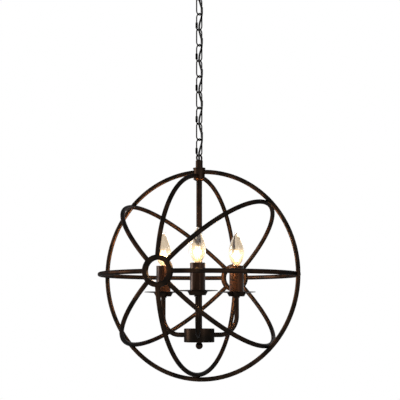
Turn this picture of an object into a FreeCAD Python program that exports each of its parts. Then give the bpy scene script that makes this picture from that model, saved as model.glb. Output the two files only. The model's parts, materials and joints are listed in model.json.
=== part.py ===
import FreeCAD, Part
import math
import os
import re
import Sketcher

# Orb chandelier, in millimetres. The origin is on the ceiling plane at the middle of the
# mounting bar, +Z is up, and the cage's axis runs along Y with a small ring at each end.

V = FreeCAD.Vector
UP = V(0, 0, 1)

SIZES = {
    # ceiling fitting
    "bar_length": 102.0,
    "bar_width": 20.0,
    "bar_thick": 2.5,
    "bar_slot_spacing": 70.0,
    "bar_slot_width": 4.6,
    "bar_slot_length": 12.0,
    "pipe_dia": 9.6,
    "pipe_bore": 6.6,
    "ceiling_pipe_rise": 7.0,
    "nut_flats": 14.0,
    "nut_thick": 3.5,
    "canopy_dia": 127.0,
    "canopy_depth": 25.0,
    "canopy_wall": 1.2,
    "canopy_round": 6.0,
    # canopy loop and stem loop
    "loop_wire": 4.0,
    "loop_ring_radius": 8.0,
    "loop_ring_foot": 5.5,
    "canopy_flange_dia": 30.0,
    "canopy_flange_thick": 4.0,
    "canopy_neck_length": 10.0,
    "collar_dia": 16.4,
    "collar_height": 17.5,
    "thread_grip": 9.0,
    # chain
    "link_wire": 3.0,
    "link_length": 43.4,
    "link_width": 20.0,
    "link_sleeve_dia": 5.6,
    "link_sleeve_length": 13.0,
    "chain_turn": -22.0,
    # supply cord
    "cord_dia": 4.5,
    # orb
    "ring_radius": 235.5,
    "rod_dia": 10.2,
    "side_ring_radius": 34.0,
    "side_ring_inner_radius": 23.3,
    "side_ring_width": 13.0,
    "side_ring_edge": 2.5,
    "socket_depth": 3.8,
    "rivet_dia": 3.0,
    # hub
    "hub_dia": 26.0,
    "hub_cap": 1.2,
    "hub_core_wall": 1.5,
    "hub_washer_dia": 28.6,
    "hub_washer_thick": 3.0,
    "hub_dish_dia": 28.0,
    "hub_dish_height": 3.5,
    "hub_dish_foot_dia": 18.0,
    # stem and cluster
    "stem_length": 337.0,
    "stem_dia": 13.4,
    "stem_bore": 10.3,
    "drum_dia": 69.0,
    "drum_height": 31.0,
    "drum_wall": 1.6,
    "drum_edge": 2.0,
    "cover_thick": 2.0,
    "finial_dia": 16.4,
    "finial_sink": 3.0,
    "finial_neck_dia": 12.0,
    "finial_neck_height": 2.4,
    # arms
    "arm_dia": 10.8,
    "arm_bore": 7.0,
    "arm_reach": 98.0,
    "arm_bend": 43.0,
    "arm_rise": 96.0,
    "arm_drop": 14.7,
    "arm_insert": 6.0,
    "arm_bead_dia": 15.0,
    "arm_bead_thick": 3.0,
    "arm_thread": 7.0,
    "first_arm_angle": -69.0,
    "lead_dia": 3.6,
    "lead_gap": 0.8,
    # drip saucers and candle sleeves
    "saucer_dia": 88.0,
    "saucer_thick": 1.2,
    "saucer_bowl_dia": 44.4,
    "saucer_floor_dia": 35.4,
    "saucer_bowl_depth": 8.0,
    "saucer_lip": 1.6,
    "sleeve_dia": 33.4,
    "sleeve_wall": 1.2,
    "sleeve_height": 69.5,
    # lampholders
    "holder_dia": 27.5,
    "holder_foot_height": 8.0,
    "holder_recess": 1.0,
    "holder_mouth_dia": 17.0,
    "holder_mouth_depth": 31.0,
    "holder_floor": 7.0,
    "holder_skirt_bore": 20.0,
    "holder_lead_hole": 5.0,
    "shell_dia": 16.8,
    "shell_bore": 14.2,
    "shell_height": 20.0,
    "shell_recess": 2.0,
    "centre_contact_dia": 6.0,
    # bulbs
    "cap_dia": 13.6,
    "cap_stand": 0.3,
    "cap_wall": 0.4,
    "cap_height": 22.5,
    "cap_base": 1.0,
    "cap_eye_dia": 2.5,
    "stud_dia": 5.0,
    "stud_height": 2.6,
    "stud_disc_dia": 9.0,
    "stud_disc_thick": 1.4,
    "glass_dia": 36.0,
    "glass_height": 77.5,
    "glass_wall": 0.9,
    "glass_neck_dia": 12.4,
    "glass_neck_length": 7.0,
    "glass_neck_gap": 0.8,
    "mount_dia": 4.5,
    "mount_height": 9.0,
    "mount_crown_dia": 10.4,
    "mount_crown_thick": 1.0,
    "filament_dia": 2.0,
    "filament_height": 27.0,
    "filament_radius": 4.0,
    # fits
    "rest_gap": 0.3,
    "fit_gap": 0.05,
    "thread_gap": 0.05,
    "hole_gap": 0.1,
}

LINK_COUNT = 10
ARM_COUNT = 3
RIB_COUNT = 8
RIB_STEP = 360.0 / RIB_COUNT
LINK_NAME = "chain_link_%02d"

doc = FreeCAD.newDocument("orb_chandelier")
sheet = doc.addObject("Spreadsheet::Sheet", "Sizes")
for row, (alias, value) in enumerate(SIZES.items(), start=1):
    sheet.set("A%d" % row, alias)
    sheet.set("B%d" % row, str(value))
    sheet.setAlias("B%d" % row, alias)
doc.recompute()


def size(alias):
    """One driving dimension, read from the sheet."""
    return float(sheet.get(alias))


def bound(text):
    """An expression in which each alias is named on the sheet."""
    def on_sheet(match):
        word = match.group(0)
        return "Sizes." + word if word in SIZES else word
    return re.sub(r"[a-z_]+", on_sheet, text)


def drive(item, **sizes):
    """Bind properties of an object to the sheet, or set those worked out here."""
    for name, value in sizes.items():
        if isinstance(value, str):
            item.setExpression(name, bound(value))
        else:
            setattr(item, name, value)


def at(x=0.0, y=0.0, z=0.0, turn=None):
    return FreeCAD.Placement(V(x, y, z), turn or FreeCAD.Rotation())


def facing(direction):
    """The rotation that lays an object's own Z along a direction."""
    return FreeCAD.Rotation(UP, V(*direction))


def spin(angle, axis=(0, 0, 1)):
    return FreeCAD.Rotation(V(*axis), angle)


def rod(radius, length, place=None):
    item = doc.addObject("Part::Cylinder", "rod")
    drive(item, Radius=radius, Height=length)
    item.Placement = place or at()
    return item


def arc_rod(radius, rod_radius, place=None, sweep="360 deg"):
    item = doc.addObject("Part::Torus", "arc_rod")
    drive(item, Radius1=radius, Radius2=rod_radius, Angle3=sweep)
    item.Placement = place or at()
    return item


def taper(low_radius, high_radius, length, place=None):
    item = doc.addObject("Part::Cone", "taper")
    drive(item, Radius1=low_radius, Radius2=high_radius, Height=length)
    item.Placement = place or at()
    return item


def ball(radius, place=None):
    item = doc.addObject("Part::Sphere", "ball")
    drive(item, Radius=radius)
    item.Placement = place or at()
    return item


def fuse(*items, place=None):
    item = doc.addObject("Part::MultiFuse", "fuse")
    item.Shapes = list(items)
    item.Placement = place or at()
    return item


def cut(base, *tools, place=None):
    """The base less its tools."""
    item = doc.addObject("Part::Cut", "cut")
    item.Base = base
    item.Tool = tools[0] if len(tools) == 1 else fuse(*tools)
    item.Placement = place or at()
    return item


def together(items, place=None):
    """Several solids that share one node."""
    item = doc.addObject("Part::Compound", "group")
    item.Links = list(items)
    item.Placement = place or at()
    return item


def rounded(base, radius, wanted):
    """Round the edges of an object that a test picks."""
    doc.recompute()
    item = doc.addObject("Part::Fillet", "rounded")
    item.Base = base
    edges = enumerate(base.Shape.Edges, start=1)
    item.Edges = [(index, radius, radius) for index, edge in edges if wanted(edge)]
    return item


def is_rim(edge, radius, height):
    """True for the round edge of a radius at a height about Z."""
    curve = edge.Curve
    return (isinstance(curve, Part.Circle) and abs(curve.Radius - radius) < 1e-6
            and abs(curve.Center.z - height) < 1e-6)


def shaped(shape, name):
    """A shape that primitives can't give, as an object of the document."""
    item = doc.addObject("Part::Feature", name)
    item.Shape = shape
    return item


def turned(name, outline, bounds, place=None):
    """A solid turned about Z from a closed outline of (radius, height) points.

    Each bound ties one corner's radius ("X") or height ("Y") to the sheet.
    """
    sketch = doc.addObject("Sketcher::SketchObject", name + "_outline")
    sketch.Placement = at(turn=spin(90, (1, 0, 0)))
    corners = [V(radius, height, 0) for radius, height in outline]
    count = len(corners)
    for index, corner in enumerate(corners):
        sketch.addGeometry(Part.LineSegment(corner, corners[(index + 1) % count]))
    for index in range(count):
        sketch.addConstraint(Sketcher.Constraint("Coincident", index, 2, (index + 1) % count, 1))
    for index, way, text in bounds:
        distance = abs(outline[index][0 if way == "X" else 1])
        number = sketch.addConstraint(
            Sketcher.Constraint("Distance" + way, -1, 1, index, 1, distance))
        sketch.setExpression("Constraints[%d]" % number, bound(text))
    item = doc.addObject("Part::Revolution", name + "_turned")
    item.Source = sketch
    item.Axis = UP
    item.Angle = 360
    item.Solid = True
    item.Placement = place or at()
    return item


nodes = {}


def node(label, item):
    """Keep an object as one node of the part."""
    item.Label = label
    nodes[label] = item
    return item


# Heights and radii that follow from the sizes.

def loop_stand():
    """From the end face of a loop's neck to the middle of its ring."""
    return math.sqrt(size("loop_ring_radius") ** 2 - size("loop_ring_foot") ** 2)


CANOPY_FACE = -size("canopy_depth")
CANOPY_NECK = CANOPY_FACE - size("canopy_flange_thick") - size("canopy_neck_length")
CANOPY_PIN = CANOPY_NECK - loop_stand() - size("loop_ring_radius")
LINK_SPAN = size("link_length") - size("link_wire")
LINK_BEND = (size("link_width") - size("link_wire")) / 2
LINK_PITCH = LINK_SPAN - size("link_wire") - size("rest_gap")
LOOP_SEAT = (size("loop_wire") + size("link_wire")) / 2 + size("rest_gap")


def pin_height(number):
    """Height of the wire's middle at the foot of a chain link; link 0 is the canopy loop."""
    if number == 0:
        return CANOPY_PIN
    first = CANOPY_PIN + LOOP_SEAT - LINK_SPAN
    return first - (number - 1) * LINK_PITCH


ORB_PIN = pin_height(LINK_COUNT)
COLLAR_TOP = ORB_PIN + LOOP_SEAT - size("loop_ring_radius") - loop_stand()
WASHER_TOP = COLLAR_TOP - size("collar_height")
HUB_TOP = WASHER_TOP - size("hub_washer_thick")
ROD = size("rod_dia") / 2
ORB_CENTRE = HUB_TOP - size("hub_cap") - ROD - size("ring_radius")
CAGE_RADIUS = size("ring_radius") - size("rod_dia") - size("fit_gap")
CAGE_TEXT = "(ring_radius - rod_dia - fit_gap)"
HUB_FOOT = ORB_CENTRE + CAGE_RADIUS - ROD - size("hub_cap")
STEM_TOP = HUB_FOOT - size("hub_dish_height")
DRUM_TOP = STEM_TOP - size("stem_length")
DRUM_FOOT = DRUM_TOP - size("drum_height")
ARM_LEVEL = DRUM_TOP - size("arm_drop")
FLOOR_FACE = ARM_LEVEL + size("arm_rise") - size("arm_thread")
BORE = size("pipe_dia") / 2 + size("thread_gap")
BORE_TEXT = "pipe_dia / 2 + thread_gap"


# Ceiling fitting

def mounting_bar():
    """A flat bar with a middle hole for the pipe and a slot near each end."""
    body = doc.addObject("PartDesign::Body", "mounting_bar_body")
    roles = {item.Role: item for item in body.Origin.OriginFeatures}
    outline = body.newObject("Sketcher::SketchObject", "bar_outline")
    outline.AttachmentSupport = (roles["XY_Plane"], [""])
    outline.MapMode = "FlatFace"
    half_length, half_width = size("bar_length") / 2, size("bar_width") / 2
    corners = [V(-half_length, -half_width, 0), V(half_length, -half_width, 0),
               V(half_length, half_width, 0), V(-half_length, half_width, 0)]
    for index, corner in enumerate(corners):
        outline.addGeometry(Part.LineSegment(corner, corners[(index + 1) % 4]))
    for index in range(4):
        outline.addConstraint(Sketcher.Constraint("Coincident", index, 2, (index + 1) % 4, 1))
    for index, kind in enumerate(("Horizontal", "Vertical", "Horizontal", "Vertical")):
        outline.addConstraint(Sketcher.Constraint(kind, index))
    outline.addConstraint(Sketcher.Constraint("Symmetric", 0, 1, 1, 2, -1, 1))
    length = outline.addConstraint(Sketcher.Constraint("DistanceX", 0, 1, 0, 2, 2 * half_length))
    width = outline.addConstraint(Sketcher.Constraint("DistanceY", 1, 1, 1, 2, 2 * half_width))
    outline.setExpression("Constraints[%d]" % length, bound("bar_length"))
    outline.setExpression("Constraints[%d]" % width, bound("bar_width"))
    pad = body.newObject("PartDesign::Pad", "bar_pad")
    pad.Profile = outline
    pad.Reversed = True
    drive(pad, Length="bar_thick")
    holes = [rod("pipe_dia / 2 + hole_gap", "bar_thick * 3", at(z=-2 * size("bar_thick")))]
    reach = size("bar_slot_spacing") / 2
    run = (size("bar_slot_length") - size("bar_slot_width")) / 2
    for side in (-1, 1):
        for end in (-1, 1):
            place = at(side * reach + end * run, z=-2 * size("bar_thick"))
            holes.append(rod("bar_slot_width / 2", "bar_thick * 3", place))
        slot = doc.addObject("Part::Box", "slot")
        drive(slot, Length="bar_slot_length - bar_slot_width", Width="bar_slot_width",
              Height="bar_thick * 3")
        slot.Placement = at(side * reach - run, -size("bar_slot_width") / 2,
                            -2 * size("bar_thick"))
        holes.append(slot)
    return cut(body, *holes)


def lock_nut(foot):
    """A hexagon nut on the ceiling pipe, with its lower face at a height."""
    prism = doc.addObject("Part::Prism", "nut")
    prism.Polygon = 6
    drive(prism, Circumradius="nut_flats / 2 / cos(30 deg)", Height="nut_thick")
    return cut(prism, rod(BORE_TEXT, "nut_thick * 3", at(z=-size("nut_thick"))),
               place=at(z=foot))


def threaded_pipe(length_text, place):
    outer = rod("pipe_dia / 2", length_text)
    return cut(outer, rod("pipe_bore / 2", length_text), place=place)


def canopy():
    """A spun dish, open to the ceiling, with a hole for the pipe."""
    radius, depth, wall = size("canopy_dia") / 2, size("canopy_depth"), size("canopy_wall")
    outer = rounded(rod("canopy_dia / 2", "canopy_depth"), size("canopy_round"),
                    lambda edge: is_rim(edge, radius, 0))
    inner = rounded(rod("canopy_dia / 2 - canopy_wall", "canopy_depth", at(z=wall)),
                    size("canopy_round") - wall,
                    lambda edge: is_rim(edge, radius - wall, wall))
    hole = rod("pipe_dia / 2 + hole_gap", "canopy_wall * 3", at(z=-wall))
    return cut(outer, inner, hole, place=at(z=-depth))


node("mounting_bar", mounting_bar())
PIPE_TEXT = "ceiling_pipe_rise + canopy_depth + thread_grip"
PIPE_FOOT = CANOPY_FACE - size("thread_grip")
node("ceiling_pipe", threaded_pipe(PIPE_TEXT, at(z=PIPE_FOOT)))
node("bar_lock_nuts", together([lock_nut(0.0),
                                lock_nut(-size("bar_thick") - size("nut_thick"))]))
node("canopy", canopy())


# Canopy loop and stem loop: a bored neck with a closed ring standing on it

def loop(neck_items, neck_face, ring_turn, ring_side, bore_foot, bore_text):
    """Join the neck to its ring, which stands up (1) or hangs down (-1) from a face."""
    middle = neck_face + ring_side * loop_stand()
    ring = arc_rod("loop_ring_radius", "loop_wire / 2", at(z=middle, turn=ring_turn))
    return cut(fuse(ring, *neck_items), rod(BORE_TEXT, bore_text, at(z=bore_foot)))


flange = rod("canopy_flange_dia / 2", "canopy_flange_thick",
             at(z=CANOPY_FACE - size("canopy_flange_thick")))
neck = rod("collar_dia / 2", "canopy_neck_length", at(z=CANOPY_NECK))
node("canopy_loop", loop([flange, neck], CANOPY_NECK,
                         spin(size("chain_turn")).multiply(spin(90, (1, 0, 0))), -1,
                         CANOPY_NECK - size("loop_wire"),
                         "canopy_flange_thick + canopy_neck_length + loop_wire * 2"))
collar = rod("collar_dia / 2", "collar_height", at(z=WASHER_TOP))
node("stem_loop", loop([collar], COLLAR_TOP,
                       spin(size("chain_turn")).multiply(facing((1, 0, 0))), 1,
                       WASHER_TOP - size("loop_wire"), "collar_height + loop_wire * 2"))


# Chain: even links lie in the XZ plane turned about the chain, odd links square to them

def chain_link(number):
    """A wire oval with a joint sleeve low on one side, hung at its place."""
    rise = LINK_SPAN / 2 - LINK_BEND
    rise_text = "(link_length - link_width)"
    bend_text = "(link_width - link_wire) / 2"
    wire = "link_wire / 2"
    flat = FreeCAD.Rotation(V(1, 0, 0), V(0, 0, 1), V(0, -1, 0), "XYZ")
    pieces = [arc_rod(bend_text, wire, at(z=rise, turn=flat), "180 deg"),
              arc_rod(bend_text, wire, at(z=-rise, turn=flat.multiply(spin(180))), "180 deg")]
    for side in (-1, 1):
        pieces.append(rod(wire, rise_text, at(x=side * LINK_BEND, z=-rise)))
    pieces.append(rod("link_sleeve_dia / 2", "link_sleeve_length",
                      at(x=-LINK_BEND, z=-size("link_sleeve_length"))))
    turn = size("chain_turn") - (90 if number % 2 else 0)
    return fuse(*pieces, place=at(z=pin_height(number) + LINK_SPAN / 2, turn=spin(turn)))


for number in range(1, LINK_COUNT + 1):
    node(LINK_NAME % number, chain_link(number))


# Supply cord: straight runs and tangent arcs. It crosses every second link from the one side
# to the other, and comes back in front of the link between.

# depths under the lowest pin where the cord runs straight, and where it meets the stem cord
CORD_STRAIGHT = 17
CORD_END = 24
# share of the shorter run that an arc takes at each of its ends
ARC_SHARE = 0.45


def cord_route():
    """Points chosen by hand along the cord, from the ceiling to the stem pipe."""
    low, bottom = pin_height(0), ORB_PIN
    points = [V(0, 0, size("ceiling_pipe_rise")), V(0, 0, low + 15), V(5.4, -7.0, low)]
    for number in range(2, LINK_COUNT + 1, 2):
        points.append(V(4.6, 8.6, pin_height(number - 1) + 5))
        if number < LINK_COUNT:
            points.append(V(4.1, -8.6, pin_height(number) + 5))
    points += [V(4.6, -5.9, bottom + 7), V(4.4, -4.7, bottom - 2.5), V(1.2, -1.4, bottom - 10),
               V(0, 0, bottom - CORD_STRAIGHT), V(0, 0, bottom - CORD_END)]
    return [spin(size("chain_turn")).multVec(point) for point in points]


def cord_path(points):
    """Straight runs joined by tangent arcs as large as the runs allow."""
    edges, start = [], points[0]
    for before, corner, after in zip(points, points[1:], points[2:]):
        way_in = (corner - before).normalize()
        way_out = (after - corner).normalize()
        half_turn = way_in.getAngle(way_out) / 2
        shorter = min(before.distanceToPoint(corner), corner.distanceToPoint(after))
        trim = ARC_SHARE * shorter
        radius = trim / math.tan(half_turn)
        first, last = corner - way_in * trim, corner + way_out * trim
        inward = (way_out - way_in).normalize()
        middle = corner + inward * (radius / math.cos(half_turn) - radius)
        edges.append(Part.LineSegment(start, first).toShape())
        edges.append(Part.Arc(first, middle, last).toShape())
        print("cord bend radius %.1f mm" % radius)
        start = last
    edges.append(Part.LineSegment(start, points[-1]).toShape())
    return Part.Wire(edges)


def cord_tube(points, radius):
    path = cord_path(points)
    first = path.Edges[0]
    section = Part.Circle(points[0], first.tangentAt(first.FirstParameter), radius)
    tube = path.makePipeShell([Part.Wire([section.toShape()])], True, False)
    expected = math.pi * radius ** 2 * path.Length
    print("cord length %.0f mm, volume ratio %.4f" % (path.Length, tube.Volume / expected))
    return tube


node("supply_cord", shaped(cord_tube(cord_route(), size("cord_dia") / 2), "supply_cord"))


# Hub: a core round the stem pipe, and a shell with a socket for each rod

def pocket_floor(end_radius, bend_radius):
    """Radius about an axis that clears the end face of a rod socketed there."""
    return end_radius - ROD * end_radius / bend_radius - size("hole_gap")


HUB_CORE = BORE + size("hub_core_wall")
HUB_ROD_END = HUB_CORE + ROD * HUB_CORE / CAGE_RADIUS + size("hole_gap")
SIDE_ROD_END = size("side_ring_radius") - size("socket_depth")
SIDE_FLOOR = pocket_floor(SIDE_ROD_END, CAGE_RADIUS)
SOCKET_TEXT = "rod_dia / 2 + fit_gap"


def tilted(angle):
    """The direction square to the cage's axis at an angle from upright, to the right."""
    return V(math.sin(math.radians(angle)), 0, math.cos(math.radians(angle)))


def cage_plane(angle):
    """The rotation of a circle about the cage's axis, tilted from upright."""
    front = V(0, -1, 0)
    return FreeCAD.Rotation(front, tilted(angle), front.cross(tilted(angle)), "XYZ")


def hub():
    height = HUB_TOP - HUB_FOOT
    height_text = "(rod_dia * 2 + fit_gap + hub_cap * 2)"
    core_text = "pipe_dia / 2 + thread_gap + hub_core_wall"
    wall = cut(rod("hub_dia / 2", height_text), rod(core_text, height_text))
    centre = ORB_CENTRE - HUB_FOOT
    ring_socket = arc_rod("ring_radius", SOCKET_TEXT, at(z=centre, turn=facing((0, 1, 0))))
    rib_socket = arc_rod(CAGE_TEXT, SOCKET_TEXT, at(z=centre, turn=cage_plane(0)))
    socketed = cut(wall, ring_socket, rib_socket)
    core = cut(rod(core_text, height_text), rod(BORE_TEXT, height_text))
    return fuse(core, socketed, place=at(z=HUB_FOOT))


node("hub", hub())
washer = cut(rod("hub_washer_dia / 2", "hub_washer_thick"), rod(BORE_TEXT, "hub_washer_thick"),
             place=at(z=HUB_TOP))
dish = cut(taper("hub_dish_foot_dia / 2", "hub_dish_dia / 2", "hub_dish_height"),
           rod(BORE_TEXT, "hub_dish_height"), place=at(z=STEM_TOP))
node("hub_washer_and_dish", together([washer, dish]))


# Orb: outer ring, side rings, ribs and the rivets where they cross

def sweep_text(end_text, bend_text, whole):
    return "%s deg - 2 * asin((%s) / (%s))" % (whole, end_text, bend_text)


def crossing_holes(radius_text):
    """Radial rivet holes through a rod circle of the XZ plane, except at the hub."""
    holes = []
    for step in range(1, RIB_COUNT):
        way = tilted(RIB_STEP * step)
        place = FreeCAD.Placement(way * (CAGE_RADIUS - 2 * size("rod_dia")), facing(way))
        holes.append(rod(radius_text, "rod_dia * 4", place))
    return holes


HUB_END_TEXT = ("(pipe_dia / 2 + thread_gap + hub_core_wall) * (1 + rod_dia / 2 / " + CAGE_TEXT
                + ") + hole_gap")
half_gap = math.degrees(math.asin(HUB_ROD_END / size("ring_radius")))
ring_frame = FreeCAD.Rotation(V(0, 0, 1), V(1, 0, 0), V(0, 1, 0), "XYZ")
ring_rod = arc_rod("ring_radius", "rod_dia / 2", at(turn=ring_frame.multiply(spin(half_gap))),
                   sweep_text(HUB_END_TEXT, "ring_radius", 360))
node("outer_ring", cut(ring_rod, *crossing_holes("rivet_dia / 2 + hole_gap"),
                       place=at(z=ORB_CENTRE)))


def side_ring(side):
    """A rounded band with a socket for each rib, at the front (-1) or the back (1)."""
    edge = size("side_ring_edge")
    width = size("side_ring_width")
    band = rounded(rod("side_ring_radius", "side_ring_width"), edge,
                   lambda item: isinstance(item.Curve, Part.Circle))
    core = rod(SIDE_FLOOR, "side_ring_width * 3", at(z=-width))
    offset = math.sqrt(CAGE_RADIUS ** 2 - size("side_ring_radius") ** 2)
    sockets = [arc_rod(CAGE_TEXT, SOCKET_TEXT,
                       at(z=width / 2 + offset,
                          turn=spin(RIB_STEP * step).multiply(facing((0, 1, 0)))))
               for step in range(RIB_COUNT // 2)]
    wall = cut(band, core, *sockets)
    bore = rod("side_ring_inner_radius", "side_ring_width * 3", at(z=-width))
    wide = "side_ring_inner_radius + side_ring_edge"
    inner = cut(rod(SIDE_FLOOR, "side_ring_width"), bore,
                taper(wide, "side_ring_inner_radius", "side_ring_edge"),
                taper("side_ring_inner_radius", wide, "side_ring_edge", at(z=width - edge)))
    place = FreeCAD.Placement(V(0, side * (offset + width / 2), ORB_CENTRE),
                              facing((0, -side, 0)))
    return fuse(wall, inner, place=place)


node("front_side_ring", side_ring(-1))
node("back_side_ring", side_ring(1))


def rib(angle, halves=""):
    """A half-round rod from side ring to side ring, tilted from upright."""
    start = math.degrees(math.asin(SIDE_ROD_END / CAGE_RADIUS))
    end_text = "side_ring_radius - socket_depth"
    sweep = sweep_text(end_text, CAGE_TEXT, 180)
    if halves:
        sweep = "90 deg - asin((%s) / %s) - asin((%s) / %s)" % (
            end_text, CAGE_TEXT, HUB_END_TEXT, CAGE_TEXT)
    turn = cage_plane(angle).multiply(spin(start))
    if halves == "back":
        hub_gap = math.degrees(math.asin(HUB_ROD_END / CAGE_RADIUS))
        turn = cage_plane(angle).multiply(spin(90 + hub_gap))
    item = arc_rod(CAGE_TEXT, "rod_dia / 2", at(turn=turn), sweep)
    if halves:
        item.Placement = at(z=ORB_CENTRE, turn=turn)
        return item
    way = tilted(angle)
    place = FreeCAD.Placement(way * (CAGE_RADIUS - 2 * size("rod_dia")), facing(way))
    return cut(item, rod("rivet_dia / 2 + hole_gap", "rod_dia * 4", place),
               place=at(z=ORB_CENTRE))


node("rib_upper_front", rib(0, "front"))
node("rib_upper_back", rib(0, "back"))
RIB_NAMES = ["upper_right", "right", "lower_right", "lower", "lower_left", "left", "upper_left"]
for step, name in enumerate(RIB_NAMES, start=1):
    node("rib_" + name, rib(RIB_STEP * step))


def cage_rivets():
    """Plain pins through a rib and the outer ring, filed flush with both rods."""
    rivets = []
    for step in range(1, RIB_COUNT):
        way = tilted(RIB_STEP * step)
        place = FreeCAD.Placement(way * (CAGE_RADIUS - ROD), facing(way))
        rivets.append(rod("rivet_dia / 2", "rod_dia * 2 + fit_gap", place))
    return together(rivets, at(z=ORB_CENTRE))


node("cage_rivets", cage_rivets())


# Stem and cluster

node("stem_tube", cut(rod("stem_dia / 2", "stem_length"), rod("stem_bore / 2", "stem_length"),
                      place=at(z=DRUM_TOP)))

arm_angles = [size("first_arm_angle") + 360.0 * k / ARM_COUNT for k in range(ARM_COUNT)]
STEM_PIPE_FOOT = DRUM_FOOT - size("finial_neck_height")


def stem_pipe():
    """The clamping pipe, with a side hole for each lamp lead."""
    length_text = ("thread_grip + hub_washer_thick + hub_cap * 2 + rod_dia * 2 + fit_gap"
                   " + hub_dish_height + stem_length + drum_height + finial_neck_height")
    outer = rod("pipe_dia / 2", length_text)
    inner = rod("pipe_bore / 2", length_text)
    holes = [rod("lead_dia / 2 + lead_gap", "pipe_dia",
                 at(z=ARM_LEVEL - STEM_PIPE_FOOT, turn=facing(outward(angle))))
             for angle in arm_angles]
    return cut(outer, inner, *holes, place=at(z=STEM_PIPE_FOOT))


def outward(angle):
    """The level direction at an angle about the stem."""
    return (math.cos(math.radians(angle)), math.sin(math.radians(angle)), 0)


node("stem_pipe", stem_pipe())
STEM_CORD_FOOT = ARM_LEVEL - size("arm_dia") / 2
STEM_CORD_TOP = ORB_PIN - CORD_END - size("fit_gap")
node("stem_cord", rod("cord_dia / 2", STEM_CORD_TOP - STEM_CORD_FOOT, at(z=STEM_CORD_FOOT)))


def cluster_drum():
    """A cup that opens downwards, bored for the pipe and the arms."""
    wall = size("drum_wall")
    outer = rounded(rod("drum_dia / 2", "drum_height"), size("drum_edge"),
                    lambda edge: isinstance(edge.Curve, Part.Circle))
    inner = rod("drum_dia / 2 - drum_wall", "drum_height", at(z=-wall))
    holes = [rod(BORE_TEXT, "drum_height * 2")]
    for angle in arm_angles:
        holes.append(rod("arm_dia / 2 + fit_gap", "drum_dia",
                         at(z=ARM_LEVEL - DRUM_FOOT, turn=facing(outward(angle)))))
    return cut(outer, inner, *holes, place=at(z=DRUM_FOOT))


node("cluster_drum", cluster_drum())
node("cluster_cover", cut(rod("drum_dia / 2 - drum_wall - fit_gap", "cover_thick"),
                          rod(BORE_TEXT, "cover_thick"), place=at(z=DRUM_FOOT)))


def finial():
    """A ball under a neck that screws onto the pipe."""
    neck = rod("finial_neck_dia / 2", "finial_neck_height", at(z=-size("finial_neck_height")))
    drop = size("finial_neck_height") + size("finial_dia") / 2 - size("finial_sink")
    knob = ball("finial_dia / 2", at(z=-drop))
    bore = rod(BORE_TEXT, "finial_neck_height * 2", at(z=-size("finial_neck_height")))
    return cut(fuse(neck, knob), bore, place=at(z=DRUM_FOOT))


node("finial", finial())


# Arms, drip saucers, candle sleeves and lampholders

# how far the arm's bore is cut past both ends of the tube
OVERRUN = 1.0


def arm_tube(radius_text, start, top):
    """A J along +X: out from a radius, round the bend, up to a height over the level run."""
    reach, bend = size("arm_reach"), size("arm_bend")
    level = rod(radius_text, reach - bend - start, at(x=start, turn=facing((1, 0, 0))))
    frame = FreeCAD.Rotation(V(0, 0, -1), V(1, 0, 0), V(0, -1, 0), "XYZ")
    corner = arc_rod("arm_bend", radius_text, at(reach - bend, 0, bend, frame), "90 deg")
    upright = rod(radius_text, top - bend, at(reach, 0, bend))
    return fuse(level, corner, upright)


def arm(angle):
    start = size("drum_dia") / 2 - size("drum_wall") - size("arm_insert")
    bead = rod("arm_bead_dia / 2", "arm_bead_thick")
    bead_top = size("arm_rise") - size("arm_thread") - size("saucer_thick")
    bead.Placement = at(size("arm_reach"), 0, bead_top - size("arm_bead_thick"))
    outer = fuse(arm_tube("arm_dia / 2", start, size("arm_rise")), bead)
    inner = arm_tube("arm_bore / 2", start - OVERRUN, size("arm_rise") + OVERRUN)
    return cut(outer, inner, place=at(z=ARM_LEVEL, turn=spin(angle)))


def lamp_place(angle):
    """The foot of a lamp: the saucer's floor, over the end of an arm."""
    x, y, _ = outward(angle)
    return at(size("arm_reach") * x, size("arm_reach") * y, FLOOR_FACE, spin(angle))


def saucer():
    """A pressed dish: a raised lip, a wide brim and a bowl with a holed floor."""
    lip, brim = size("saucer_dia") / 2, size("saucer_bowl_dia") / 2
    floor, hole = size("saucer_floor_dia") / 2, size("arm_dia") / 2 + size("hole_gap")
    thick, deep = size("saucer_thick"), size("saucer_bowl_depth")
    rise = deep + size("saucer_lip")
    outline = [(hole, -thick), (floor, -thick), (brim, deep - thick), (lip, rise - thick),
               (lip, rise), (brim - thick / 2, deep), (floor - thick / 2, 0), (hole, 0)]
    outline = [(radius, height + thick) for radius, height in outline]
    bounds = [(0, "X", "arm_dia / 2 + hole_gap"), (1, "X", "saucer_floor_dia / 2"),
              (2, "X", "saucer_bowl_dia / 2"), (3, "X", "saucer_dia / 2"),
              (4, "X", "saucer_dia / 2"), (7, "X", "arm_dia / 2 + hole_gap"),
              (7, "Y", "saucer_thick"), (6, "Y", "saucer_thick")]
    return turned("saucer", outline, bounds)


def holder(angle):
    """Foot, shell, screw shell and centre contact, from the saucer's floor up."""
    top = size("sleeve_height") - size("holder_recess")
    foot_height = size("holder_foot_height")
    foot = cut(rod("holder_dia / 2", "holder_foot_height"),
               rod("arm_dia / 2 + thread_gap", "holder_foot_height"))
    shell_text = "(sleeve_height - holder_recess - holder_foot_height)"
    mouth_foot = top - size("holder_mouth_depth")
    skirt = mouth_foot - size("holder_floor") - foot_height
    skirt_bore = rod("holder_skirt_bore / 2", skirt, at(z=foot_height))
    shell = cut(rod("holder_dia / 2", shell_text, at(z=foot_height)),
                rod("holder_mouth_dia / 2", "holder_mouth_depth * 2", at(z=mouth_foot)),
                skirt_bore,
                rod("holder_lead_hole / 2", "holder_floor * 2",
                    at(z=mouth_foot - size("holder_floor"))))
    shell_top = top - size("shell_recess")
    screw = cut(rod("shell_dia / 2", "shell_height"), rod("shell_bore / 2", "shell_height"),
                place=at(z=shell_top - size("shell_height")))
    contact = rod("centre_contact_dia / 2", STUD_FOOT - mouth_foot - size("rest_gap"),
                  at(z=mouth_foot))
    return together([foot, shell, screw, contact], lamp_place(angle))


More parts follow.
